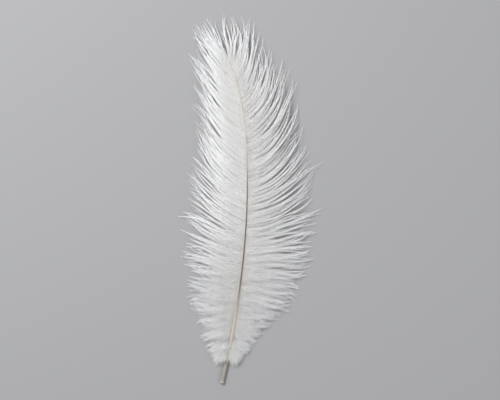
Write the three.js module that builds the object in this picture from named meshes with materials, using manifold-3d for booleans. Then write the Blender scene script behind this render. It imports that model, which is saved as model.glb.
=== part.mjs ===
// A white ostrich feather lying on a table, its quill's cut end towards -Y and its tip towards +Y.
// It grew as one piece: a round quill that runs on as a tapering shaft, with a soft vane on each side.
// Each vane is a row of locks of barbs that spring from the shaft, arch out and come down to the table.
// Millimetres, +Z up, the table at z = 0.
import * as THREE from "three";
import { mergeVertices } from "three/addons/utils/BufferGeometryUtils.js";
import Module from "manifold-3d";

// The shaft's centre line: a straight bare quill that lies on the table, then one bow up and down to the tip.
const QUILL_RADIUS = 1.45;
const SHAFT_SIDES = 10;
const REST_HEIGHT = QUILL_RADIUS * Math.cos(Math.PI / SHAFT_SIDES);
const QUILL_END = new THREE.Vector3(0, 0, REST_HEIGHT);
const QUILL_TOP = new THREE.Vector3(3.5, 15.6, REST_HEIGHT);
const BOW_LOW = new THREE.Vector3(18, 80, REST_HEIGHT);
const BOW_HIGH = new THREE.Vector3(29, 178, 24);
const SHAFT_TIP = new THREE.Vector3(6, 241, 3);

// The shaft's section along it: [share of its length, half width, half height].
const SHAFT_SECTION = [
  [0, QUILL_RADIUS, QUILL_RADIUS],
  [0.08, QUILL_RADIUS, QUILL_RADIUS],
  [0.3, 1.2, 1.3],
  [0.6, 0.8, 0.9],
  [1, 0.3, 0.3],
];
const SHAFT_STEPS = 30;

// The vanes begin this far up the shaft. Each row along them gives
// [share of the vane, angle at the root, angle at the tip, length], with angles from the shaft in degrees.
const VANE_START = 18;
const RIGHT_VANE = [
  [0, 108, 112, 11],
  [0.06, 98, 104, 16],
  [0.12, 93, 100, 23],
  [0.2, 91, 95, 35],
  [0.28, 89, 88, 46],
  [0.36, 87, 78, 53],
  [0.46, 87, 58, 57],
  [0.56, 88, 40, 57],
  [0.7, 82, 29, 56],
  [0.82, 70, 20, 53],
  [0.92, 48, 12, 47],
  [1, 10, -6, 37],
];
const LEFT_VANE = [
  [0, 110, 116, 13],
  [0.06, 101, 108, 20],
  [0.15, 94, 98, 34],
  [0.25, 89, 84, 43],
  [0.36, 87, 72, 49],
  [0.46, 85, 56, 52],
  [0.56, 82, 44, 54],
  [0.7, 76, 30, 56],
  [0.82, 64, 18, 53],
  [0.92, 42, 5, 46],
  [1, 8, -4, 36],
];
// A barb turns most of the way from its root angle to its tip angle over its inner part.
const EARLY_TURN = 1.8;

// A lock of barbs: a slender wedge with a crest above and a keel below. It is as thick at its root as
// the shaft allows, thickest a third of the way out, and narrows to a pointed tip over its outer part.
const LOCKS_A_SIDE = 32;
const LOCK_STEPS = 8;
const ROOT_TO_SHAFT = 0.75;
const LOCK_THICKNESS = 3;
const THICKEST_AT = 0.35;
const TIP_THICKNESS = 0.5;
const LOCK_COVER = 0.97;
const NARROWS_FROM = 0.58;
const NARROWING_POWER = 1.9;

// No two locks grow alike: their lengths and the height of their tips vary in a slow beat along the vane.
const LENGTH_VARIATION = 0.04;
const TIP_LIFT = 1.4;
const BEAT = 2.4;

const TANGENT_STEP = 0.5;
const WELD = 0.02;

// Linear reading of a table whose rows start with a share from 0 to 1.
function readTable(rows, share, column) {
  const upper = Math.max(1, rows.findIndex((row) => row[0] >= share));
  const low = rows[upper - 1];
  const high = rows[upper];
  return THREE.MathUtils.lerp(low[column], high[column], (share - low[0]) / (high[0] - low[0]));
}

function makeShaftLine() {
  const line = new THREE.CurvePath();
  line.add(new THREE.LineCurve3(QUILL_END, QUILL_TOP));
  line.add(new THREE.CubicBezierCurve3(QUILL_TOP, BOW_LOW, BOW_HIGH, SHAFT_TIP));
  return line;
}

const shaftLine = makeShaftLine();
const shaftLength = shaftLine.getLength();

function shaftPoint(distance) {
  return shaftLine.getPoint(THREE.MathUtils.clamp(distance / shaftLength, 0, 1));
}

function shaftTangent(distance) {
  const ahead = shaftPoint(distance + TANGENT_STEP);
  const behind = shaftPoint(distance - TANGENT_STEP);
  return ahead.sub(behind).normalize();
}

// A closed body through rings of points, each ring anticlockwise seen from the end that the body runs to.
// The first ring gets a flat cap. The last one does too, unless it is a single point.
function loft(rings) {
  const corners = [];
  const face = (...points) => points.forEach((point) => corners.push(point.x, point.y, point.z));
  const cap = (ring) => ring.slice(2).forEach((point, i) => face(ring[0], ring[i + 1], point));
  for (let r = 1; r < rings.length; r += 1) {
    const from = rings[r - 1];
    const to = rings[r];
    from.forEach((point, i) => {
      const j = (i + 1) % from.length;
      face(point, from[j], to[j % to.length]);
      if (to.length > 1) face(point, to[j], to[i]);
    });
  }
  cap([...rings[0]].reverse());
  cap(rings[rings.length - 1]);
  const geometry = new THREE.BufferGeometry();
  geometry.setAttribute("position", new THREE.Float32BufferAttribute(corners, 3));
  return geometry;
}

// The quill and shaft. A facet of every ring faces down, so that the quill lies flat.
function makeShaft() {
  const rings = [];
  for (let step = 0; step <= SHAFT_STEPS; step += 1) {
    const share = step / SHAFT_STEPS;
    const centre = shaftPoint(share * shaftLength);
    const tangent = shaftTangent(share * shaftLength);
    const right = new THREE.Vector3(tangent.y, -tangent.x, 0).normalize();
    const above = new THREE.Vector3().crossVectors(right, tangent);
    const halfWidth = readTable(SHAFT_SECTION, share, 1);
    const halfHeight = readTable(SHAFT_SECTION, share, 2);
    const ring = [];
    for (let side = 0; side < SHAFT_SIDES; side += 1) {
      const angle = -Math.PI / 2 - (Math.PI * (2 * side + 1)) / SHAFT_SIDES;
      const point = centre.clone();
      point.addScaledVector(right, halfWidth * Math.cos(angle));
      point.addScaledVector(above, halfHeight * Math.sin(angle));
      ring.push(point);
    }
    rings.push(ring);
  }
  return loft(rings);
}

// The path of a barb that springs from a share of the vane, seen from above. The side is 1 on the right
// and -1 on the left.
function barbPath(side, share, lengthFactor) {
  const rows = side > 0 ? RIGHT_VANE : LEFT_VANE;
  const distance = THREE.MathUtils.lerp(VANE_START, shaftLength, share);
  const tangent = shaftTangent(distance);
  const heading = Math.atan2(tangent.y, tangent.x);
  const rootAngle = readTable(rows, share, 1);
  const tipAngle = readTable(rows, share, 2);
  const stride = (readTable(rows, share, 3) * lengthFactor) / LOCK_STEPS;
  const point = shaftPoint(distance);
  const path = [point.clone()];
  for (let step = 0; step < LOCK_STEPS; step += 1) {
    const turned = 1 - (1 - (step + 0.5) / LOCK_STEPS) ** EARLY_TURN;
    const turn = side * THREE.MathUtils.degToRad(THREE.MathUtils.lerp(rootAngle, tipAngle, turned));
    point.x += stride * Math.cos(heading - turn);
    point.y += stride * Math.sin(heading - turn);
    path.push(point.clone());
  }
  return path;
}

// How thick a lock is at t, from 0 at its root to 1 at its tip.
function lockThickness(t, rootThickness) {
  if (t < THICKEST_AT) return THREE.MathUtils.lerp(rootThickness, LOCK_THICKNESS, t / THICKEST_AT);
  return THREE.MathUtils.lerp(LOCK_THICKNESS, TIP_THICKNESS, (t - THICKEST_AT) / (1 - THICKEST_AT));
}

// The share of its pitch that a lock covers at t.
function lockCover(t) {
  const narrowing = Math.max(0, (t - NARROWS_FROM) / (1 - NARROWS_FROM));
  return LOCK_COVER * (1 - narrowing ** NARROWING_POWER);
}

// One lock between two barb paths. Its keel comes down from the shaft in a quarter of a cosine wave,
// so that the two vanes make a low arch whose edges come down to the table.
function makeLock(side, index) {
  const beat = Math.sin(BEAT * index + side);
  const lengthFactor = 1 + LENGTH_VARIATION * beat;
  const lift = TIP_LIFT * (0.5 + 0.5 * beat);
  const before = barbPath(side, index / LOCKS_A_SIDE, lengthFactor);
  const after = barbPath(side, (index + 1) / LOCKS_A_SIDE, lengthFactor);
  const rootShare = THREE.MathUtils.lerp(VANE_START / shaftLength, 1, (index + 0.5) / LOCKS_A_SIDE);
  const rootThickness = 2 * ROOT_TO_SHAFT * readTable(SHAFT_SECTION, rootShare, 2);
  const rootKeel = (before[0].z + after[0].z - rootThickness) / 2;
  const rings = [];
  for (let step = 0; step <= LOCK_STEPS; step += 1) {
    const t = step / LOCK_STEPS;
    const thickness = lockThickness(t, rootThickness);
    const keel = rootKeel * Math.cos((t * Math.PI) / 2) + lift * t ** 2;
    const edgeHeight = keel + thickness / 2;
    const middle = before[step].clone().lerp(after[step], 0.5);
    if (step < LOCK_STEPS) {
      const reach = lockCover(t) / 2;
      const low = before[step].clone().lerp(after[step], 0.5 - reach).setZ(edgeHeight);
      const high = before[step].clone().lerp(after[step], 0.5 + reach).setZ(edgeHeight);
      const crest = middle.clone().setZ(keel + thickness);
      const under = middle.clone().setZ(keel);
      rings.push(side > 0 ? [low, under, high, crest] : [high, under, low, crest]);
    } else {
      rings.push([middle.setZ(keel)]);
    }
  }
  return loft(rings);
}

const wasm = await Module();
wasm.setup();

function toSolid(geometry) {
  const merged = mergeVertices(geometry);
  return new wasm.Manifold(
    new wasm.Mesh({
      numProp: 3,
      vertProperties: merged.attributes.position.array,
      triVerts: new Uint32Array(merged.index.array),
    }),
  );
}

// The solid's surface. Corners closer than the weld become one, and the slivers between them are dropped.
function toGeometry(solid) {
  const mesh = solid.getMesh();
  const surface = new THREE.BufferGeometry();
  surface.setAttribute("position", new THREE.BufferAttribute(mesh.vertProperties, 3));
  surface.setIndex(new THREE.BufferAttribute(mesh.triVerts, 1));
  const welded = mergeVertices(surface, WELD);
  const corners = welded.index.array;
  const kept = [];
  for (let i = 0; i < corners.length; i += 3) {
    const [a, b, c] = corners.slice(i, i + 3);
    if (a !== b && b !== c && c !== a) kept.push(a, b, c);
  }
  welded.setIndex(kept);
  return welded;
}

function makeFeather() {
  let solid = toSolid(makeShaft());
  for (const side of [1, -1]) {
    for (let index = 0; index < LOCKS_A_SIDE; index += 1) {
      solid = solid.add(toSolid(makeLock(side, index)));
    }
  }
  return toGeometry(solid);
}

const feather = new THREE.Mesh(
  makeFeather(),
  new THREE.MeshStandardMaterial({ color: 0xe9e7e1, roughness: 0.85, metalness: 0 }),
);
feather.name = "feather";

// The feather lies centred over the origin, where its length and width cross.
feather.geometry.computeBoundingBox();
const middle = feather.geometry.boundingBox.getCenter(new THREE.Vector3());
feather.position.set(-middle.x, -middle.y, 0);

const model = new THREE.Group();
model.add(feather);

export default model;
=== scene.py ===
# %% [markdown]
# # A white ostrich feather
# An ostrich plume has a quill that runs on as a shaft, and barbs on both sides of it that don't hook
# together as a flight feather's do. Each barb is a fine stem that carries hundreds of hair-like barbules.
# This lesson grows them in that order: the shaft's line, the barbs as guide lines, the barbules on them.

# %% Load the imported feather
import math

import bpy
import numpy as np
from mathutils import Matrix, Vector


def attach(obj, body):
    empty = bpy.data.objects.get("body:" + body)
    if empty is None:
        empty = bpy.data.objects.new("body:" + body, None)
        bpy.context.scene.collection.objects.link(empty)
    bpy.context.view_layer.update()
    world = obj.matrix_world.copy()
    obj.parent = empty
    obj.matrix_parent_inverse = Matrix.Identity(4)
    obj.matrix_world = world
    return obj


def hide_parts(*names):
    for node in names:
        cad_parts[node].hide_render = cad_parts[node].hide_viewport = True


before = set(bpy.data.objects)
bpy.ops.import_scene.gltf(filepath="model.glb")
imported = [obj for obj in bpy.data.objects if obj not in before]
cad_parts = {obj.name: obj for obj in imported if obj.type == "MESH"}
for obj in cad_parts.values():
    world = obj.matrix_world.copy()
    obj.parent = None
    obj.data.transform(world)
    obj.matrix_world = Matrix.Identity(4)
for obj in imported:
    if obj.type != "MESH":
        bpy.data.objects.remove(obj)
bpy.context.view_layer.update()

# %% [markdown]
# ## The shaft's line
# Everything on a feather hangs on its shaft, so its centre line comes first. The bare quill is straight
# and lies on the table. The rest is one cubic curve that bows up and comes down again at the tip. The line
# is measured by its length, because barbs stand at even distances along the real shaft.

# %% The shaft's centre line
MM = 0.001
QUILL_RADIUS = 1.45
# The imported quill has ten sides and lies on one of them.
REST_HEIGHT = QUILL_RADIUS * math.cos(math.pi / 10)
QUILL_END = (0, 0, REST_HEIGHT)
QUILL_TOP = (3.5, 15.6, REST_HEIGHT)
BOW_LOW = (18, 80, REST_HEIGHT)
BOW_HIGH = (29, 178, 24)
SHAFT_TIP = (6, 241, 3)
QUILL_SAMPLES = 20
LINE_SAMPLES = 600
HALF_STEP = 0.5


def shaft_samples():
    """Points along the quill and shaft in millimetres, and how far along each one is."""
    t = np.linspace(0, 1, LINE_SAMPLES)[:, None]
    corners = [np.array(p, float) for p in (QUILL_TOP, BOW_LOW, BOW_HIGH, SHAFT_TIP)]
    weights = [(1 - t) ** 3, 3 * t * (1 - t) ** 2, 3 * t ** 2 * (1 - t), t ** 3]
    bow = sum(w * p for w, p in zip(weights, corners))
    quill = np.array(QUILL_END) + (corners[0] - QUILL_END) * np.linspace(0, 1, QUILL_SAMPLES)[:-1, None]
    points = np.vstack([quill, bow])
    steps = np.linalg.norm(np.diff(points, axis=0), axis=1)
    return points, np.concatenate([[0], np.cumsum(steps)])


line_points, line_distances = shaft_samples()
SHAFT_LENGTH = line_distances[-1]


def on_shaft(distance):
    """The point of the centre line at each distance from the quill's cut end."""
    return np.stack([np.interp(distance, line_distances, axis) for axis in line_points.T], -1)


def along_shaft(distance):
    """The direction in which the centre line runs at each distance."""
    ahead = on_shaft(np.minimum(distance + HALF_STEP, SHAFT_LENGTH))
    way = ahead - on_shaft(np.maximum(distance - HALF_STEP, 0))
    return way / np.linalg.norm(way, axis=-1, keepdims=True)


print("shaft length in mm:", round(float(SHAFT_LENGTH), 1))

# %% [markdown]
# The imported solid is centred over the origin, while the line starts at the quill's cut end. The solid's
# own lowest points along Y are that end, so their middle says how far the line has to move.

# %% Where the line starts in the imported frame
END_DEPTH = 1
feather_corners = np.array([v.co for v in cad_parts["feather"].data.vertices]) / MM
cut_end = feather_corners[feather_corners[:, 1] < feather_corners[:, 1].min() + END_DEPTH]
cut_middle = (cut_end.min(0) + cut_end.max(0)) / 2
START = np.array([cut_middle[0], cut_middle[1], 0])
print("the quill's cut end in mm:", np.round(START, 2))

# %% [markdown]
# ## The quill and shaft
# The quill is a horny tube, round and hollow where it was cut. Further up it turns into a shaft with a
# groove along its top and narrows to a hair at the tip. A loft does this: rings of points that follow the
# line, each ring a little different from the last. The first rings turn back into the tube, so that the
# cut end is open.

# %% The shaft's section along its length
# [distance from the cut end in mm, half width, half height, depth of the groove as a share of the height]
SHAFT_SECTION = np.array([
    [0, 1.45, 1.45, 0],
    [12.5, 1.42, 1.42, 0],
    [15.5, 1.56, 1.5, 0],
    [18.5, 1.45, 1.45, 0],
    [50, 1.32, 1.38, 0.1],
    [74, 1.2, 1.3, 0.22],
    [110, 1.02, 1.1, 0.28],
    [147, 0.8, 0.9, 0.28],
    [200, 0.52, 0.55, 0.2],
    [SHAFT_LENGTH, 0.16, 0.16, 0],
])
SHAFT_SIDES = 24
GROOVE_WIDTH = 0.32
# [distance from the cut end in mm, share of the quill's radius], from the bottom of the hollow to its lip
HOLLOW = [(7, 0.02), (7, 0.5), (1, 0.62), (0.1, 0.7), (0, 0.78), (0, 0.92), (0.12, 1)]
HOLLOW_SHARE = 0.04
CUT_SLANT = 0.5
# The rings stand a millimetre apart up to here, and evenly from here to the tip.
CLOSE_RINGS_TO = 30
UPPER_RINGS = 120


def section_at(distance, column):
    """One column of the shaft's table, read at a distance from the cut end."""
    return np.interp(distance, SHAFT_SECTION[:, 0], SHAFT_SECTION[:, column])


def shaft_ring(distance, scale):
    """One ring of the shaft round its centre line. The rings at the cut end lean, as the cut does."""
    turn = 2 * math.pi * np.arange(SHAFT_SIDES) / SHAFT_SIDES - math.pi / 2
    wide, high, groove = (section_at(distance, column) for column in (1, 2, 3))
    tangent = along_shaft(distance)
    across = np.array([tangent[1], -tangent[0], 0])
    across /= np.linalg.norm(across)
    above = np.cross(across, tangent)
    from_top = np.abs(turn - math.pi / 2)
    dip = 1 - groove * np.exp(-(from_top / GROOVE_WIDTH) ** 2)
    x = scale * wide * np.cos(turn)
    z = scale * high * np.sin(turn) * dip
    back = (CUT_SLANT if distance < 1 else 0) * np.sin(turn)
    return on_shaft(distance) + x[:, None] * across + z[:, None] * above + back[:, None] * tangent


def shaft_rings():
    """All the rings, each with the place along the map that its points get."""
    rings = []
    for k, (distance, scale) in enumerate(HOLLOW):
        rings.append((shaft_ring(distance, scale), HOLLOW_SHARE * k / len(HOLLOW)))
    upper = np.linspace(CLOSE_RINGS_TO, SHAFT_LENGTH, UPPER_RINGS)
    for distance in np.concatenate([np.arange(1, CLOSE_RINGS_TO), upper]):
        share = HOLLOW_SHARE + (1 - HOLLOW_SHARE) * distance / SHAFT_LENGTH
        rings.append((shaft_ring(distance, 1), share))
    return rings


# %% [markdown]
# A map from the surface to a flat square tells the material where it is: U runs once round the shaft from
# the underside, and V runs from the cut end to the tip. Each face knows its own corners, so the map can
# reach 1 at the seam, where the ring comes round to its first point again.

# %% The shaft's mesh
MAP_NAME = "OFBake"
SHAFT_LOWEST = 0.02


def make_mesh(name, points, faces, uvs):
    """A smooth mesh in metres from points in mm, with one map."""
    mesh = bpy.data.meshes.new(name)
    mesh.from_pydata([tuple(p) for p in (points + START) * MM], [], faces)
    layer = mesh.uv_layers.new(name=MAP_NAME)
    layer.uv.foreach_set("vector", np.array(uvs, np.float32).ravel())
    mesh.shade_smooth()
    mesh.update()
    return mesh


def shaft_mesh():
    """The rings joined by squares, with a cap at each end. No point lies lower than the table."""
    rings = shaft_rings()
    points = np.vstack([ring for ring, _ in rings])
    points[:, 2] = np.maximum(points[:, 2], SHAFT_LOWEST)
    faces, uvs = [], []
    for r in range(len(rings) - 1):
        low, high = rings[r][1], rings[r + 1][1]
        for i in range(SHAFT_SIDES):
            j = (i + 1) % SHAFT_SIDES
            a, b = r * SHAFT_SIDES, (r + 1) * SHAFT_SIDES
            faces.append((a + i, a + j, b + j, b + i))
            left, right = i / SHAFT_SIDES, (i + 1) / SHAFT_SIDES
            uvs += [(left, low), (right, low), (right, high), (left, high)]
    last = (len(rings) - 1) * SHAFT_SIDES
    for start, share, turned in ((0, 0.0, True), (last, 1.0, False)):
        ring = [start + i for i in range(SHAFT_SIDES)]
        faces.append(tuple(reversed(ring)) if turned else tuple(ring))
        uvs += [(i / SHAFT_SIDES, share) for i in range(SHAFT_SIDES)]
    return make_mesh("shaft", points, faces, uvs)


def add_object(mesh):
    obj = bpy.data.objects.new(mesh.name, mesh)
    bpy.context.scene.collection.objects.link(obj)
    return obj


shaft = add_object(shaft_mesh())
print("shaft faces:", len(shaft.data.polygons))

# %% [markdown]
# ## The rule that the barbs follow
# Low on the shaft the barbs stand straight out, or even lean back. Further up they spring forward and curve
# towards the tip, more so on the right, and the last ones run on almost in line with the shaft. Two short
# tables hold that rule, and every barb reads its own angles and length from them. A barb does most of its
# turning over its inner part, so its outer part is nearly straight.

# %% Angles and lengths along each vane
VANE_START = 19.5
# [share of the vane, angle at the root, angle at the tip, length in mm]
RIGHT_VANE = np.array([
    [0, 112, 119, 9],
    [0.05, 101, 109, 15],
    [0.12, 93, 100, 23],
    [0.2, 91, 95, 35],
    [0.28, 89, 88, 46],
    [0.36, 86, 78, 53],
    [0.46, 84, 54, 58],
    [0.56, 82, 32, 61],
    [0.7, 76, 20, 60],
    [0.82, 66, 14, 55],
    [0.92, 54, 16, 47],
    [0.97, 48, 22, 39],
    [1, 8, 0, 35],
])
LEFT_VANE = np.array([
    [0, 114, 126, 10],
    [0.06, 102, 111, 19],
    [0.15, 94, 98, 34],
    [0.25, 87, 82, 43],
    [0.36, 80, 66, 50],
    [0.46, 72, 48, 54],
    [0.56, 66, 36, 56],
    [0.7, 60, 26, 57],
    [0.82, 54, 20, 56],
    [0.92, 44, 14, 50],
    [0.97, 34, 12, 42],
    [1, 8, -2, 35],
])
EARLY_TURN = 1.8
HOOK_FROM = 0.6
VANES = {1: RIGHT_VANE, -1: LEFT_VANE}
BARB_STEPS = 16
path_shares = np.linspace(0, 1, BARB_STEPS + 1)


def smooth(low, high, x):
    """0 below low, 1 above high and an even rise between them."""
    t = np.clip((x - low) / (high - low), 0, 1)
    return t * t * (3 - 2 * t)


def distance_of(share):
    """How far from the cut end a share of the vane lies."""
    return VANE_START + (SHAFT_LENGTH - VANE_START) * share


def barb_path(side, share, factor, swing, hook):
    """A barb seen from above, right for side 1 and left for -1. Swing bends its outer half, hook its tip."""
    rows = VANES[side]
    distance = distance_of(share)
    root_angle, tip_angle, length = (np.interp(share, rows[:, 0], rows[:, k]) for k in (1, 2, 3))
    tangent = along_shaft(distance)
    heading = math.atan2(tangent[1], tangent[0])
    middles = (path_shares[1:] + path_shares[:-1]) / 2
    turned = 1 - (1 - middles) ** EARLY_TURN
    bent = swing * middles ** 2 + hook * smooth(HOOK_FROM, 1, middles)
    turn = np.radians(root_angle + (tip_angle - root_angle) * turned + bent)
    steps = np.stack([np.cos(heading - side * turn), np.sin(heading - side * turn)], -1)
    path = np.zeros((BARB_STEPS + 1, 2))
    path[1:] = np.cumsum(steps, 0) * length * factor / BARB_STEPS
    return path + on_shaft(distance)[:2]


# %% [markdown]
# ## Barbs gather in strands and locks
# Loose barbs cling to their neighbours, so what the eye sees on a plume are strands of about three barbs
# that run to one fine tip, and locks of a few strands that lean together. No two are alike, so each
# side gets a list of strands of uneven width, each with its own length, bend and height, all from one seed.

# %% The strands of each side
STRAND_PITCH = 0.0092
PITCH_VARIES = 0.3
BARBS_A_STRAND = 3
STRANDS_A_LOCK = (2, 3, 4, 5)
# Lengths are shares of the table's and lie between two limits. So do lifts, in mm. Swings and hooks are in
# degrees and spread about a mean.
LOCK_HABITS = {"lengths": (0.97, 1.03), "swing": (0, 2.5), "lifts": (-0.5, 0.5)}
STRAND_HABITS = {"lengths": (0.9, 1.05), "swing": (0, 4.5), "hook": (0, 12), "lifts": (-0.2, 1.0)}
chance = np.random.default_rng(11)


def make_strands():
    """For one side: where each strand starts and ends on the shaft, its lock's middle and its own habits."""
    widths = []
    while sum(widths) < 1:
        widths.append(STRAND_PITCH * chance.uniform(1 - PITCH_VARIES, 1 + PITCH_VARIES))
    edges = np.concatenate([[0], np.cumsum(widths)]) / sum(widths)
    strands, k = [], 0
    while k < len(widths):
        taken = min(int(chance.choice(STRANDS_A_LOCK)), len(widths) - k)
        lock_middle = (edges[k] + edges[k + taken]) / 2
        lock_length = chance.uniform(*LOCK_HABITS["lengths"])
        lock_swing = chance.normal(*LOCK_HABITS["swing"])
        lock_lift = chance.uniform(*LOCK_HABITS["lifts"])
        for own in range(k, k + taken):
            strands.append({
                "from": edges[own], "to": edges[own + 1], "lock": lock_middle,
                "length": lock_length * chance.uniform(*STRAND_HABITS["lengths"]),
                "swing": lock_swing + chance.normal(*STRAND_HABITS["swing"]),
                "hook": chance.normal(*STRAND_HABITS["hook"]),
                "lift": lock_lift + chance.uniform(*STRAND_HABITS["lifts"]),
                "barbs": BARBS_A_STRAND,
            })
        k += taken
    return strands


# %% [markdown]
# Both ends of the vane need more. Where it begins, a tuft of short down stands round the quill. At the tip,
# where the angle changes fast, a fan of extra barbs closes the gap between the two sides. These barbs are
# single.

# %% The tuft of down and the fan at the tip
TUFT = {"barbs": 20, "shares": (0, 0.05), "lengths": (0.35, 1.15), "swing": (2, 26), "lifts": (0, 2.2)}
FAN = {"barbs": 19, "shares": (0.945, 1), "lengths": (0.72, 1.04), "swing": (-2, 9), "lifts": (-0.3, 1)}


def single_barbs(group):
    """A strand of one barb for each barb of the group."""
    singles = []
    for _ in range(group["barbs"]):
        share = chance.uniform(*group["shares"])
        singles.append({
            "from": share, "to": share, "lock": share,
            "length": chance.uniform(*group["lengths"]),
            "swing": chance.normal(*group["swing"]),
            "hook": 0,
            "lift": chance.uniform(*group["lifts"]),
            "barbs": 1,
        })
    return singles


STRANDS = {side: make_strands() + single_barbs(TUFT) + single_barbs(FAN) for side in (1, -1)}
print("strands a side:", {side: len(strands) for side, strands in STRANDS.items()})

# %% [markdown]
# The vane isn't flat. Its barbs spring from the upper sides of the shaft and come down to the table in a low
# arch. It is also a few layers deep, thickest a third of the way out.

# %% The height of the vane
# At the root the vane is this many of the shaft's half heights thick.
ROOT_THICKNESS = 1.5
VANE_THICKNESS = 3
THICKEST_AT = 0.35
TIP_THICKNESS = 0.5
TIP_LIFT = 0.7
# Along the vane: how far up the shaft's side the barbs spring, and how far out from its middle, as shares
# of the shaft's half height and half width. The rise is gone a third of the way along the barb.
ROOT_RISE = ([0, 0.15, 0.35, 0.7, 1], [0.2, 0.4, 0.8, 1.0, 1.3])
ROOT_REACH = ([0, 0.15, 0.35, 0.7, 0.85, 1], [0.9, 0.85, 0.6, 0.4, 0, 0])
RISE_GONE_AT = 0.3


def vane_heights(share):
    """The height of the middle of the vane along a barb, and its thickness there, in mm."""
    distance = distance_of(share)
    half_height = section_at(distance, 2)
    root_thick = ROOT_THICKNESS * half_height
    thick = np.interp(path_shares, [0, THICKEST_AT, 1], [root_thick, VANE_THICKNESS, TIP_THICKNESS])
    root_keel = on_shaft(distance)[2] - root_thick / 2
    keel = root_keel * np.cos(path_shares * math.pi / 2) + TIP_LIFT * path_shares ** 2
    over = np.interp(share, *ROOT_RISE) * half_height * (1 - smooth(0, RISE_GONE_AT, path_shares))
    return keel + thick / 2 + over, thick


# %% [markdown]
# One barb is a line of points in space. It starts at its own place on the shaft and drifts towards the
# middle of its strand, and a little towards the middle of its lock. It gets a gentle wave, because no real
# barb is straight, and a layer of its own in the vane, so that strands cast shadows on each other. In the
# down at the foot the waves are bigger. Every third barb or so runs low under the strands and keeps to its
# own line, so that the gaps between the strands aren't empty. A few strays leave their strand on top.

# %% The guide line of one barb
# Between which shares of the vane the down gives way to sleek barbs.
DOWN_FADES = (0.1, 0.55)
# How far a barb drifts to the middle of its strand, and by which share of its length. Down gathers later.
STRAND_PULL = 0.75
GATHERED_AT = 0.4
GATHERS_LATER = 0.5
# Along the vane: how far the barbs drift to the middle of their lock. That sets in a fifth of the way out.
LOCK_PULL = ([0, 0.4, 0.6, 1], [0.25, 0.15, 0.08, 0.05])
LOCKS_FROM = 0.2
# Strays and the barbs that run low drift less, and their lengths and bends differ.
STRAY_CHANCE, UNDER_CHANCE = 0.05, 0.3
LOOSE_PULL = 0.3
BARB_HABITS = {"lengths": (0.88, 1.03), "swing": (0, 4)}
STRAY_LENGTH, UNDER_LENGTH = 1.06, 0.94
STRAY_SWING = (0, 14)
# The sizes of the waves in mm, how many a barb has, and where they reach their full size.
WAVE_SIZES = (0.15, 0.7)
DOWN_WAVE_SIZES = (0, 1.3)
WAVES_A_BARB = (0.8, 1.8)
WAVES_FULL_AT = 0.35
# A barb's layer, up or down from the vane's middle as a share of its thickness, and where it is reached.
LAYERS = (-0.3, 0.5)
UNDER_LAYER = -0.5
LAYERS_FULL_AT = 0.25
# How evenly a lifted strand bulges between its ends, and how low a barb may run in mm.
LIFT_BULGE = 0.7
LOWEST = 0.35


def downiness(share):
    """1 for the down at the foot of the vane, 0 for the sleek barbs of its upper part."""
    return 1 - smooth(*DOWN_FADES, share)


def barb_guide(side, strand, place):
    """The points of one barb in mm."""
    barb_share = strand["from"] + (strand["to"] - strand["from"]) * place
    strand_share = (strand["from"] + strand["to"]) / 2
    downy = downiness(barb_share)
    stray = chance.random() < STRAY_CHANCE
    under = not stray and chance.random() < UNDER_CHANCE
    factor = strand["length"] * chance.uniform(*BARB_HABITS["lengths"])
    factor *= STRAY_LENGTH if stray else UNDER_LENGTH if under else 1
    swing = strand["swing"] + chance.normal(*BARB_HABITS["swing"])
    swing += chance.normal(*STRAY_SWING) if stray else 0
    starts = (barb_share, strand_share, strand["lock"])
    own, with_strand, with_lock = (barb_path(side, at, factor, swing, strand["hook"]) for at in starts)
    keeps = LOOSE_PULL if stray or under else 1
    loose = GATHERS_LATER * downy
    to_strand = keeps * STRAND_PULL * smooth(loose, GATHERED_AT + loose, path_shares)[:, None]
    to_lock = keeps * np.interp(barb_share, *LOCK_PULL) * smooth(LOCKS_FROM, 1, path_shares)[:, None]
    flat = own + to_strand * (with_strand - own) + to_lock * (with_lock - with_strand)
    ahead = np.gradient(flat, axis=0)
    ahead /= np.linalg.norm(ahead, axis=1, keepdims=True)
    aside = np.stack([-ahead[:, 1], ahead[:, 0]], -1)
    size = chance.uniform(*WAVE_SIZES) + downy * chance.uniform(*DOWN_WAVE_SIZES)
    wave = size * np.sin(2 * math.pi * (path_shares * chance.uniform(*WAVES_A_BARB) + chance.random()))
    flat += aside * (wave * smooth(0, WAVES_FULL_AT, path_shares))[:, None]
    middle, thick = vane_heights(strand_share)
    layer = UNDER_LAYER if under else chance.uniform(*LAYERS)
    layer = layer * thick * smooth(0, LAYERS_FULL_AT, path_shares)
    rise = 0 if under else strand["lift"] * np.sin(path_shares * math.pi) ** LIFT_BULGE
    height = middle + layer + rise
    return np.column_stack([flat, np.maximum(height, LOWEST)])


# %% [markdown]
# The barbs start on the shaft's side, not on its centre line, so each guide loses the first stretch
# that lies inside the shaft. The guides of one region become one mesh of bare edges. It also carries what
# the node tree needs to know at each point: how far along its barb it is, a tint, and how downy it is.

# %% Guide meshes
PLACE_VARIES = 0.3
STRAND_TINT_SHARE = 0.6
# The tints leave the lowest strip of the map free, because the stems use it.
TINT_LOWEST, TINT_RANGE = 0.05, 0.9


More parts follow.
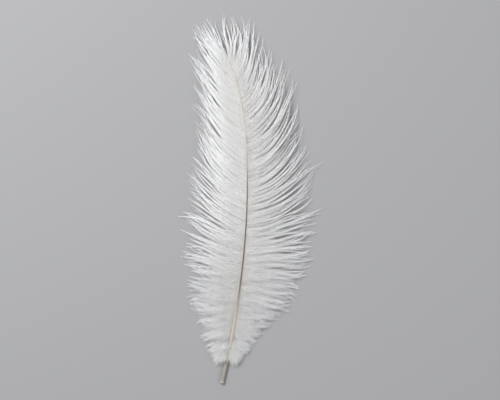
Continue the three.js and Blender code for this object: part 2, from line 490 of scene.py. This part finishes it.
def guides_for(side, first, last):
    """The guides of all the strands whose middle lies between two shares of the vane."""
    found = []
    for strand in STRANDS[side]:
        if not first <= (strand["from"] + strand["to"]) / 2 < last:
            continue
        strand_tint = chance.random()
        for k in range(strand["barbs"]):
            place = (k + 0.5 + chance.uniform(-PLACE_VARIES, PLACE_VARIES)) / strand["barbs"]
            share = strand["from"] + (strand["to"] - strand["from"]) * place
            guide = barb_guide(side, strand, place)
            start = np.interp(share, *ROOT_REACH) * section_at(distance_of(share), 1)
            run = np.concatenate([[0], np.cumsum(np.linalg.norm(np.diff(guide, axis=0), axis=1))])
            at = start + (run[-1] - start) * path_shares
            guide = np.stack([np.interp(at, run, axis) for axis in guide.T], -1)
            tint = STRAND_TINT_SHARE * strand_tint + (1 - STRAND_TINT_SHARE) * chance.random()
            found.append((guide, TINT_LOWEST + TINT_RANGE * tint, downiness(share)))
    return found


def guide_object(name, guides):
    """A mesh of loose edges with the attributes that the tree reads."""
    points = (np.vstack([g for g, _, _ in guides]) + START) * MM
    count = BARB_STEPS + 1
    edges = [(b * count + i, b * count + i + 1) for b in range(len(guides)) for i in range(BARB_STEPS)]
    mesh = bpy.data.meshes.new(name)
    mesh.from_pydata([tuple(p) for p in points], edges, [])
    columns = {
        "along": np.tile(path_shares, len(guides)),
        "tint": np.repeat([t for _, t, _ in guides], count),
        "downy": np.repeat([d for _, _, d in guides], count),
    }
    for title, values in columns.items():
        mesh.attributes.new(title, "FLOAT", "POINT").data.foreach_set("value", values.astype(np.float32))
    return add_object(mesh)


# %% [markdown]
# ## A node tree that grows barbules
# Geometry Nodes suit what repeats along a path. The tree turns each guide into a fine tapering stem, then
# walks along it and sets a barbule every 0.12 to 0.15 mm, left and right in turn. A barbule is a blade of
# only four faces, because there are more than two hundred thousand of them.

# %% Helpers for building trees
def add_node(tree, kind, inputs=None, **settings):
    """A new node with its settings, its inputs set to values or joined to other sockets."""
    made = tree.nodes.new(kind)
    for name, value in settings.items():
        setattr(made, name, value)
    for key, value in (inputs or {}).items():
        if isinstance(value, bpy.types.NodeSocket):
            tree.links.new(value, made.inputs[key])
        else:
            made.inputs[key].default_value = value
    return made


def maths(tree, operation, a, b=0.0):
    """The result of one sum of two numbers."""
    return add_node(tree, "ShaderNodeMath", {0: a, 1: b}, operation=operation).outputs[0]


def vector_maths(tree, operation, a, b):
    return add_node(tree, "ShaderNodeVectorMath", {0: a, 1: b}, operation=operation).outputs[0]


def scaled(tree, vector, factor):
    return add_node(tree, "ShaderNodeVectorMath", {0: vector, "Scale": factor}, operation="SCALE").outputs[0]


def vector(tree, x=0.0, y=0.0, z=0.0):
    return add_node(tree, "ShaderNodeCombineXYZ", {0: x, 1: y, 2: z}).outputs[0]


def parts_of(tree, value):
    return add_node(tree, "ShaderNodeSeparateXYZ", {0: value}).outputs


def blend_of(tree, factor, a, b):
    """A number that runs from a to b as the factor runs from 0 to 1."""
    return add_node(tree, "ShaderNodeMapRange", {0: factor, 3: a, 4: b}).outputs[0]


def named(tree, title, kind="FLOAT"):
    """The value of a named attribute."""
    return add_node(tree, "GeometryNodeInputNamedAttribute", {0: title}, data_type=kind).outputs[0]


def store(tree, geometry, title, value, kind="FLOAT", domain="POINT"):
    """The geometry with one more named attribute."""
    made = add_node(tree, "GeometryNodeStoreNamedAttribute",
                    {"Geometry": geometry, "Name": title, "Value": value}, data_type=kind, domain=domain)
    return made.outputs[0]


def between(tree, low, high, seed):
    """A random number for each point, from low to high."""
    made = add_node(tree, "FunctionNodeRandomValue", {2: low, 3: high, "Seed": seed}, data_type="FLOAT")
    return made.outputs[1]


# %% [markdown]
# The tree's inputs are what one might want to change about a feather: how close, long and wide its barbules
# are, and how far they lean and spread. Named inputs keep those choices out of the nodes.

# %% The tree's named inputs
TREE_INPUTS = [
    ("Geometry", "NodeSocketGeometry", None),
    ("Stem Radius", "NodeSocketFloat", 0.17 * MM),
    ("Stem Tip Share", "NodeSocketFloat", 0.2),
    ("Barbule Spacing", "NodeSocketFloat", 0.12 * MM),
    ("Barbule Length", "NodeSocketFloat", 2.6 * MM),
    ("Barbule Width", "NodeSocketFloat", 0.15 * MM),
    ("Bare Root", "NodeSocketFloat", 0.1 * MM),
    ("Lean At Root", "NodeSocketFloat", math.radians(40)),
    ("Lean At Tip", "NodeSocketFloat", math.radians(11)),
    ("Down Lean", "NodeSocketFloat", math.radians(30)),
    ("Spread", "NodeSocketFloat", math.radians(38)),
    ("Down Spread", "NodeSocketFloat", math.radians(30)),
    ("Bend", "NodeSocketFloat", 1.5),
    ("Seed", "NodeSocketInt", 1),
    ("Material", "NodeSocketMaterial", None),
]


def new_tree(name, sockets):
    """An empty tree with the named inputs, and the sockets of its two ends."""
    tree = bpy.data.node_groups.new(name, "GeometryNodeTree")
    for title, kind, value in sockets:
        socket = tree.interface.new_socket(title, in_out="INPUT", socket_type=kind)
        if value is not None:
            socket.default_value = value
    tree.interface.new_socket("Geometry", in_out="OUTPUT", socket_type="NodeSocketGeometry")
    return tree, tree.nodes.new("NodeGroupInput").outputs, tree.nodes.new("NodeGroupOutput").inputs


# %% [markdown]
# A barbule starts as a cone on a triangle, the closed shape with the fewest faces. One corner of the triangle
# stays at the root. The other two are pulled a third of the way up, which makes a slim folded blade: a
# pointed root, a waist, and a long fine tip.

# %% One barbule
WAIST = 0.36
FLATNESS = 0.7
# Two of the triangle's three corners lie beyond this, and only the cone's tip lies above half its height.
PULLED_BEYOND = -0.1
HALF_HEIGHT = 0.5
# How wide a patch of the map one barbule covers.
SPOT = 0.012


def barbule(tree, bend):
    """One barbule along Z, with its root at the bottom and a tip that bends over."""
    cone = add_node(tree, "GeometryNodeMeshCone",
                    {"Vertices": 3, "Radius Top": 0.0, "Radius Bottom": 0.5, "Depth": 1.0}).outputs[0]
    x, y, z = parts_of(tree, add_node(tree, "GeometryNodeInputPosition").outputs[0])
    across = maths(tree, "ADD", maths(tree, "MULTIPLY", x, SPOT), maths(tree, "MULTIPLY", y, SPOT))
    marked = store(tree, cone, "spot", vector(tree, across, maths(tree, "MULTIPLY", z, SPOT)), "FLOAT_VECTOR")
    at_waist = maths(tree, "LESS_THAN", x, PULLED_BEYOND)
    tip = maths(tree, "GREATER_THAN", z, HALF_HEIGHT)
    flat = maths(tree, "SUBTRACT", maths(tree, "MULTIPLY", x, FLATNESS), maths(tree, "MULTIPLY", tip, bend))
    long = maths(tree, "ADD", z, maths(tree, "MULTIPLY", at_waist, WAIST))
    shape = vector(tree, flat, y, long)
    return add_node(tree, "GeometryNodeSetPosition", {"Geometry": marked, "Position": shape}).outputs[0]


# %% [markdown]
# The stems are a triangle swept along each guide. The triangle marks its own corners, so that the map of
# the finished stem has some width.

# %% The stems
STEM_LEVEL = 0.005


def stems(tree, curves, inputs):
    """A tapering stem along each guide."""
    circle = add_node(tree, "GeometryNodeCurvePrimitiveCircle", {"Resolution": 3, "Radius": 1.0}).outputs[0]
    turn = maths(tree, "MULTIPLY", add_node(tree, "GeometryNodeSplineParameter").outputs[0], SPOT)
    circle = store(tree, circle, "spot", vector(tree, turn, turn), "FLOAT_VECTOR")
    radius = blend_of(tree, named(tree, "along"), inputs["Stem Radius"],
                      maths(tree, "MULTIPLY", inputs["Stem Radius"], inputs["Stem Tip Share"]))
    swept = add_node(tree, "GeometryNodeCurveToMesh",
                     {"Curve": curves, "Profile Curve": circle, "Scale": radius, "Fill Caps": True})
    return store(tree, swept.outputs[0], "level", STEM_LEVEL)


# %% [markdown]
# Each barbule leans forward along its barb, less at the tip, where a strand closes to a point. In the down
# at the foot of the feather they stand out more and in all directions. Their direction is a sum of three
# parts: forward along the barb, out to the side, and up or down.

# %% Where each barbule points
LEAN_SETTLES = 0.6
LEAN_VARIES = (0.75, 1.25)
# The shares of the spread by which a barbule may point up or down: mostly to the side that faces the table.
RISES = (-1.0, 0.15)


def barbule_direction(tree, tangent, normal, inputs):
    """The direction of the barbule at each point, left and right in turn."""
    along, downy = named(tree, "along"), named(tree, "downy")
    seed = inputs["Seed"]
    index = add_node(tree, "GeometryNodeInputIndex").outputs[0]
    side = maths(tree, "SUBTRACT", maths(tree, "MULTIPLY", maths(tree, "MODULO", index, 2.0), 2.0), 1.0)
    lean = add_node(tree, "ShaderNodeMapRange",
                    {0: along, 2: LEAN_SETTLES, 3: inputs["Lean At Root"], 4: inputs["Lean At Tip"]})
    lean = maths(tree, "ADD", lean.outputs[0], maths(tree, "MULTIPLY", downy, inputs["Down Lean"]))
    lean = maths(tree, "MULTIPLY", lean, between(tree, *LEAN_VARIES, seed))
    spread = maths(tree, "ADD", inputs["Spread"], maths(tree, "MULTIPLY", downy, inputs["Down Spread"]))
    rise = maths(tree, "MULTIPLY", spread, between(tree, *RISES, maths(tree, "ADD", seed, 1.0)))
    upward = vector_maths(tree, "CROSS_PRODUCT", tangent, normal)
    out = vector_maths(tree, "ADD",
                       scaled(tree, normal, maths(tree, "MULTIPLY", side, maths(tree, "COSINE", rise))),
                       scaled(tree, upward, maths(tree, "SINE", rise)))
    return vector_maths(tree, "ADD", scaled(tree, tangent, maths(tree, "COSINE", lean)),
                        scaled(tree, out, maths(tree, "SINE", lean)))


# %% [markdown]
# Barbules are longest a third of the way along their barb and short at its tip. In the down they are nearly
# twice as long and finer, which makes it soft.

# %% How long each barbule is
# (place along the barb, share of the full length)
LENGTH_PROFILE = [(0, 0.3), (0.03, 0.6), (0.12, 0.85), (0.35, 0.95), (0.65, 0.72), (0.85, 0.48), (1, 0.22)]
LENGTH_VARIES = (0.5, 1.25)
TIP_FINENESS = 0.6
DOWN_FINENESS = 0.7
DOWN_LENGTH = 1.9


def barbule_scale(tree, inputs):
    """The width and length of the barbule at each point."""
    seed = inputs["Seed"]
    profile = add_node(tree, "ShaderNodeFloatCurve", {"Value": named(tree, "along")})
    points = profile.mapping.curves[0].points
    for x, y in LENGTH_PROFILE[1:-1]:
        points.new(x, y)
    points[0].location = LENGTH_PROFILE[0]
    points[len(points) - 1].location = LENGTH_PROFILE[-1]
    profile.mapping.update()
    length = maths(tree, "MULTIPLY", profile.outputs[0], inputs["Barbule Length"])
    length = maths(tree, "MULTIPLY", length, blend_of(tree, named(tree, "downy"), 1.0, DOWN_LENGTH))
    length = maths(tree, "MULTIPLY", length, between(tree, *LENGTH_VARIES, maths(tree, "ADD", seed, 2.0)))
    fineness = blend_of(tree, named(tree, "along"), 1.0, TIP_FINENESS)
    width = maths(tree, "MULTIPLY", inputs["Barbule Width"], fineness)
    width = maths(tree, "MULTIPLY", width, blend_of(tree, named(tree, "downy"), 1.0, DOWN_FINENESS))
    return vector(tree, width, width, length)


# %% [markdown]
# The walk along each guide starts a little way out from the shaft, so that the shaft stays bare. The points
# carry the barb's tint with them. At the end the barbules become real faces, nothing sinks into the table,
# and the map is written: U says how far along the barb a face is, and V is the barb's tint, or a strip of
# its own for the stems. The barbules of a barb share one narrow strip of the map.

# %% The whole tree
LEAST_HEIGHT = 0.04 * MM
SPIN = math.radians(50)
# U runs over this much of the map's width, and the margins keep every patch off the map's edges.
MAP_WIDTH = 0.96
MAP_MARGINS = (0.02, 0.01)


def barbules(tree, curves, inputs):
    """Barbules set along each guide."""
    bare = add_node(tree, "GeometryNodeTrimCurve", {"Curve": curves, 4: inputs["Bare Root"], 5: 1.0},
                    mode="LENGTH")
    walk = add_node(tree, "GeometryNodeCurveToPoints",
                    {"Curve": bare.outputs[0], "Length": inputs["Barbule Spacing"]}, mode="LENGTH")
    points = store(tree, walk.outputs["Points"], "level", named(tree, "tint"))
    direction = barbule_direction(tree, walk.outputs["Tangent"], walk.outputs["Normal"], inputs)
    aimed = add_node(tree, "FunctionNodeAxesToRotation",
                     {"Primary Axis": direction, "Secondary Axis": (0, 0, 1)},
                     primary_axis="Z", secondary_axis="X").outputs[0]
    angle = between(tree, -SPIN, SPIN, maths(tree, "ADD", inputs["Seed"], 3.0))
    spin = add_node(tree, "FunctionNodeAxisAngleToRotation", {"Axis": (0, 0, 1), "Angle": angle}).outputs[0]
    turned = add_node(tree, "FunctionNodeRotateRotation", {0: aimed, 1: spin}, rotation_space="LOCAL")
    return add_node(tree, "GeometryNodeInstanceOnPoints",
                    {"Points": points, "Instance": barbule(tree, inputs["Bend"]),
                     "Rotation": turned.outputs[0], "Scale": barbule_scale(tree, inputs)}).outputs[0]


def barb_tree():
    """Guides in, barbs with stems and barbules out, as real faces with a map and a material."""
    tree, inputs, outputs = new_tree("barbs_with_barbules", TREE_INPUTS)
    curves = add_node(tree, "GeometryNodeMeshToCurve", {"Mesh": inputs["Geometry"]}).outputs[0]
    curves = add_node(tree, "GeometryNodeSetCurveNormal", {"Curve": curves}, mode="Z_UP").outputs[0]
    join = add_node(tree, "GeometryNodeJoinGeometry")
    for branch in (stems(tree, curves, inputs), barbules(tree, curves, inputs)):
        tree.links.new(branch, join.inputs[0])
    real = add_node(tree, "GeometryNodeRealizeInstances", {"Geometry": join.outputs[0]}).outputs[0]
    x, y, z = parts_of(tree, add_node(tree, "GeometryNodeInputPosition").outputs[0])
    above = vector(tree, x, y, maths(tree, "MAXIMUM", z, LEAST_HEIGHT))
    real = add_node(tree, "GeometryNodeSetPosition", {"Geometry": real, "Position": above}).outputs[0]
    spot = parts_of(tree, named(tree, "spot", "FLOAT_VECTOR"))
    u = maths(tree, "ADD", maths(tree, "MULTIPLY", named(tree, "along"), MAP_WIDTH), spot[0])
    v = maths(tree, "ADD", named(tree, "level"), spot[1])
    centred = vector(tree, maths(tree, "ADD", u, MAP_MARGINS[0]), maths(tree, "ADD", v, MAP_MARGINS[1]))
    real = store(tree, real, MAP_NAME, centred, "FLOAT2", "CORNER")
    real = add_node(tree, "GeometryNodeSetShadeSmooth", {"Geometry": real, "Shade Smooth": False}).outputs[0]
    done = add_node(tree, "GeometryNodeSetMaterial", {"Geometry": real, "Material": inputs["Material"]})
    tree.links.new(done.outputs[0], outputs[0])
    return tree


barb_nodes = barb_tree()
print("nodes in the tree:", len(barb_nodes.nodes))

# %% [markdown]
# ## Keratin has a grain
# Shaft and barbs are both keratin, and keratin is never quite one colour: it is streaked the way it grew, and
# no two barbs are equally white. Both materials need that, so it is built once as a node group. Each material
# says how fine the grain is across and along, and how dark its darkest streaks are.

# %% Material helpers
def new_material(name):
    """A material, its tree and its surface node."""
    made = bpy.data.materials.new(name)
    made.use_nodes = True
    return made, made.node_tree, made.node_tree.nodes["Principled BSDF"]


def ramp(tree, factor, stops):
    """A colour that changes along the factor. Each stop is (place, colour)."""
    made = add_node(tree, "ShaderNodeValToRGB", {0: factor})
    elements = made.color_ramp.elements
    for place, colour in stops[2:]:
        elements.new(place)
    for element, (place, colour) in zip(elements, stops):
        element.position = place
        element.color = (*colour, 1)
    return made.outputs[0]


def mix_colours(tree, factor, a, b, kind="MIX"):
    made = add_node(tree, "ShaderNodeMix", {0: factor, 6: a, 7: b}, data_type="RGBA", blend_type=kind)
    return made.outputs[2]


def map_parts(tree):
    """The place on the map, whole and as separate numbers."""
    place = add_node(tree, "ShaderNodeUVMap", None, uv_map=MAP_NAME).outputs[0]
    return place, parts_of(tree, place)


# %% [markdown]
# A noise texture that is squeezed along one direction gives streaks. The group turns it into a tint that is
# multiplied with the colour, and hands the bare noise on as well, for the shine and the relief of the horn.

# %% The grain as a node group
GRAIN_DETAIL = 2.5
# Below the first of these the grain is at its darkest, above the second there is none.
GRAIN_LIMITS = (0.3, 0.7)
GRAIN_SOCKETS = [
    ("Colour", "INPUT", "NodeSocketColor"),
    ("Place", "INPUT", "NodeSocketVector"),
    ("Fineness", "INPUT", "NodeSocketVector"),
    ("Darkest", "INPUT", "NodeSocketColor"),
    ("Colour", "OUTPUT", "NodeSocketColor"),
    ("Grain", "OUTPUT", "NodeSocketFloat"),
]


def grain_group():
    """The group itself: a stretched noise that darkens the colour in streaks."""
    group = bpy.data.node_groups.new("keratin_grain", "ShaderNodeTree")
    for title, way, kind in GRAIN_SOCKETS:
        group.interface.new_socket(title, in_out=way, socket_type=kind)
    inputs, outputs = group.nodes.new("NodeGroupInput").outputs, group.nodes.new("NodeGroupOutput").inputs
    place = vector_maths(group, "MULTIPLY", inputs["Place"], inputs["Fineness"])
    noise = add_node(group, "ShaderNodeTexNoise", {"Vector": place, "Scale": 1.0, "Detail": GRAIN_DETAIL})
    grain = noise.outputs[0]
    low, high = GRAIN_LIMITS
    light = add_node(group, "ShaderNodeMapRange", {0: grain, 1: low, 2: high}).outputs[0]
    shade = mix_colours(group, light, inputs["Darkest"], (1, 1, 1, 1))
    group.links.new(mix_colours(group, 1.0, inputs["Colour"], shade, "MULTIPLY"), outputs["Colour"])
    group.links.new(grain, outputs["Grain"])
    return group


keratin_grain = grain_group()


def grained(tree, colour, place, fineness, darkest):
    """The group placed in a material: its outputs are the streaked colour and the bare grain."""
    made = tree.nodes.new("ShaderNodeGroup")
    made.node_tree = keratin_grain
    tree.links.new(colour, made.inputs["Colour"])
    tree.links.new(place, made.inputs["Place"])
    made.inputs["Fineness"].default_value = fineness
    made.inputs["Darkest"].default_value = darkest
    return made.outputs


# %% [markdown]
# ## The look of the barbs
# White barbs are keratin without pigment, thin and dull. The colour is creamy by the shaft and pure white
# further out. The stems are a little darker than the barbules, because they are thicker.

# %% White barbs
# (place along the barb, colour)
BARB_COLOURS = [
    (0, (0.83, 0.81, 0.78)), (0.06, (0.89, 0.885, 0.875)), (0.3, (0.92, 0.92, 0.918)),
    (1, (0.93, 0.932, 0.94)),
]
STEM_COLOURS = [
    (0, (0.77, 0.73, 0.67)), (0.15, (0.84, 0.82, 0.78)), (0.5, (0.9, 0.9, 0.89)), (1, (0.92, 0.92, 0.92)),
]
# The stems have the lowest strip of the map.
STEM_STRIP = 0.03
BARB_GRAIN = {"fineness": (5, 60, 1), "darkest": (0.87, 0.87, 0.88, 1)}
BARB_ROUGHNESS = 0.62
BARB_SPECULAR = 0.35


def barb_material():
    material, tree, surface = new_material("white_barbs")
    place, (u, v, _) = map_parts(tree)
    on_stem = maths(tree, "LESS_THAN", v, STEM_STRIP)
    colour = mix_colours(tree, on_stem, ramp(tree, u, BARB_COLOURS), ramp(tree, u, STEM_COLOURS))
    streaked = grained(tree, colour, place, **BARB_GRAIN)
    tree.links.new(streaked["Colour"], surface.inputs["Base Color"])
    surface.inputs["Roughness"].default_value = BARB_ROUGHNESS
    surface.inputs["Specular IOR Level"].default_value = BARB_SPECULAR
    return material


white_barbs = barb_material()

# %% [markdown]
# ## The look of the shaft
# The bare quill is greyish and horny. Above it the shaft is ivory, then tan, with a dark line of painted
# shade along its groove, and the line fades out as the shaft turns white near the tip. The colours read the
# shaft's own map, so they follow its curve. Fine streaks run lengthwise, as in horn.

# %% Horn of the shaft
# (place along the map, colour): the hollow, its pale cut lip, the bare quill with a dark ring where the down
# begins, and the shaft up to its tip
HORN_COLOURS = [
    (0, (0.42, 0.4, 0.35)), (0.036, (0.66, 0.65, 0.62)), (0.043, (0.6, 0.585, 0.55)),
    (0.05, (0.37, 0.35, 0.305)), (0.095, (0.4, 0.375, 0.325)), (0.102, (0.3, 0.28, 0.24)),
    (0.115, (0.5, 0.475, 0.42)), (0.16, (0.58, 0.55, 0.49)), (0.3, (0.6, 0.575, 0.52)),
    (0.45, (0.68, 0.655, 0.61)), (0.62, (0.77, 0.757, 0.735)), (0.75, (0.85, 0.842, 0.828)),
    (0.88, (0.9, 0.897, 0.89)), (1, (0.91, 0.91, 0.905)),
]
# Along the map: how strongly the groove is darkened by painted shade, following the groove's depth.
GROOVE_SHADE_STRENGTH = [
    (0, (0, 0, 0)), (0.22, (0, 0, 0)), (0.34, (0.9, 0.9, 0.9)), (0.62, (1, 1, 1)), (0.7, (0.55, 0.55, 0.55)),
    (0.8, (0, 0, 0)),
]
# The colour of the groove's painted shade, and how far it reaches across the map from the top of the shaft.
GROOVE_SHADE_COLOUR = (0.095, 0.08, 0.06, 1)
GROOVE_SHADE_REACH = 0.11
GROOVE_SHADE_CORE = GROOVE_SHADE_REACH * 0.5
HORN_GRAIN = {"fineness": (40, 7, 1), "darkest": (0.76, 0.74, 0.7, 1)}
HORN_ROUGHNESS = (0.5, 0.3)
HORN_RELIEF = {"Strength": 0.25, "Distance": 0.05 * MM}


def horn_material():
    material, tree, surface = new_material("horn_of_the_shaft")
    place, (u, v, _) = map_parts(tree)
    colour = ramp(tree, v, HORN_COLOURS)
    from_top = maths(tree, "ABSOLUTE", maths(tree, "SUBTRACT", u, 0.5))
    # The groove's shade is painted: a dark line along the top of the shaft.
    inside = add_node(tree, "ShaderNodeMapRange", {0: from_top, 1: GROOVE_SHADE_REACH, 2: GROOVE_SHADE_CORE}).outputs[0]
    groove = maths(tree, "MULTIPLY", inside, ramp(tree, v, GROOVE_SHADE_STRENGTH))
    colour = mix_colours(tree, groove, colour, GROOVE_SHADE_COLOUR)
    streaked = grained(tree, colour, place, **HORN_GRAIN)
    tree.links.new(streaked["Colour"], surface.inputs["Base Color"])
    tree.links.new(blend_of(tree, streaked["Grain"], *HORN_ROUGHNESS), surface.inputs["Roughness"])
    bump = add_node(tree, "ShaderNodeBump", {"Height": streaked["Grain"], **HORN_RELIEF})
    tree.links.new(bump.outputs[0], surface.inputs["Normal"])
    return material


shaft.data.materials.append(horn_material())

# %% [markdown]
# ## Growing the vanes
# Each vane is grown in three stretches, so that no piece gets too heavy. The tree runs as a modifier on the
# guides. Its result is copied to a plain mesh, and the guides go.

# %% Grow one stretch of vane
tree_sockets = [item for item in barb_nodes.interface.items_tree if item.in_out == "INPUT"]
identifiers = {item.name: item.identifier for item in tree_sockets}
# (first share of the vane, last share, spacing of the barbules in mm). The last stretch ends a little past 1,
# so that it takes in the barbs at the very tip.
STRETCHES = {"low": (0, 0.4, 0.12), "middle": (0.4, 0.66, 0.135), "high": (0.66, 1.001, 0.15)}
# (side, seed of the lowest stretch)
SIDES = {"right": (1, 100), "left": (-1, 200)}
SEED_STEP = 10
# What only the tree needs is taken off the finished mesh.
WORK_ATTRIBUTES = ("along", "tint", "downy", "level", "spot")


def grow(name, side, first, last, spacing, seed):
    """One stretch of vane as a plain mesh."""
    guides = guides_for(side, first, last)
    bare = guide_object(name + "_guides", guides)
    modifier = bare.modifiers.new("barbs", "NODES")
    modifier.node_group = barb_nodes
    modifier[identifiers["Seed"]] = seed
    modifier[identifiers["Barbule Spacing"]] = spacing * MM
    modifier[identifiers["Material"]] = white_barbs
    drawn = bare.evaluated_get(bpy.context.evaluated_depsgraph_get())
    mesh = bpy.data.meshes.new_from_object(drawn)
    mesh.name = name
    for title in WORK_ATTRIBUTES:
        if title in mesh.attributes:
            mesh.attributes.remove(mesh.attributes[title])
    bpy.data.objects.remove(bare)
    triangles = sum(len(p.vertices) - 2 for p in mesh.polygons)
    print(name, "barbs:", len(guides), "triangles:", triangles)
    return add_object(mesh)


pieces = [shaft]
for word, (side, first_seed) in SIDES.items():
    for k, (stretch, (first, last, spacing)) in enumerate(STRETCHES.items()):
        seed = first_seed + SEED_STEP * k
        pieces.append(grow(f"{word}_vane_{stretch}", side, first, last, spacing, seed))

# %% [markdown]
# ## Hand the pieces to the frame
# The grown pieces stand for the imported solid, so that one is hidden.

# %% Ride and replace
for piece in pieces:
    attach(piece, "root")
    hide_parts("feather")

# %% [markdown]
# ## The studio
# The feather was laid on a flat surface and seen from straight above. Soft light from the upper left
# shows the relief of the strands, and a weaker light from the other side keeps the shadows open.

# %% Floor and light
FLOOR_COLOUR = (0.35, 0.35, 0.355, 1)
FLOOR_ROUGHNESS = 0.9
FLOOR_REACH = 3.0
SKY_COLOUR = (0.97, 0.98, 1, 1)
SKY_STRENGTH = 0.38


def make_floor():
    size = FLOOR_REACH
    mesh = bpy.data.meshes.new("floor")
    corners = [(-size, -size, 0), (size, -size, 0), (size, size, 0), (-size, size, 0)]
    mesh.from_pydata(corners, [], [(0, 1, 2, 3)])
    floor = add_object(mesh)
    material, _, surface = new_material("pale_floor")
    surface.inputs["Base Color"].default_value = FLOOR_COLOUR
    surface.inputs["Roughness"].default_value = FLOOR_ROUGHNESS
    mesh.materials.append(material)


def area_light(name, place, size, watts):
    """A square lamp that shines at the middle of the feather."""
    data = bpy.data.lights.new(name, "AREA")
    data.shape, data.size, data.energy = "SQUARE", size, watts
    lamp = bpy.data.objects.new(name, data)
    lamp.location = place
    lamp.rotation_euler = (-Vector(place)).to_track_quat("-Z", "Y").to_euler()
    bpy.context.scene.collection.objects.link(lamp)


make_floor()
area_light("key", place=(-0.65, 0.7, 1.0), size=0.5, watts=18.5)
area_light("fill", place=(0.9, -0.5, 1.0), size=1.0, watts=5.5)
world = bpy.data.worlds.new("studio")
world.use_nodes = True
sky = world.node_tree.nodes["Background"].inputs
sky[0].default_value, sky[1].default_value = SKY_COLOUR, SKY_STRENGTH
bpy.context.scene.world = world
bpy.context.scene.view_settings.view_transform = "Standard"

# %% [markdown]
# The camera hangs high above the feather with a long lens, so that the arch isn't drawn larger than the rest.
# The focal length is worked out from the width that the picture has to show.

# %% Camera straight above
CAMERA_HEIGHT = 1.3
FIELD_WIDTH = 0.375
SENSOR_WIDTH = 36
camera_data = bpy.data.cameras.new("camera")
camera_data.sensor_width = SENSOR_WIDTH
camera_data.lens = SENSOR_WIDTH * CAMERA_HEIGHT / FIELD_WIDTH
camera = bpy.data.objects.new("camera", camera_data)
camera.location = (0, 0, CAMERA_HEIGHT)
bpy.context.scene.collection.objects.link(camera)
bpy.context.scene.camera = camera
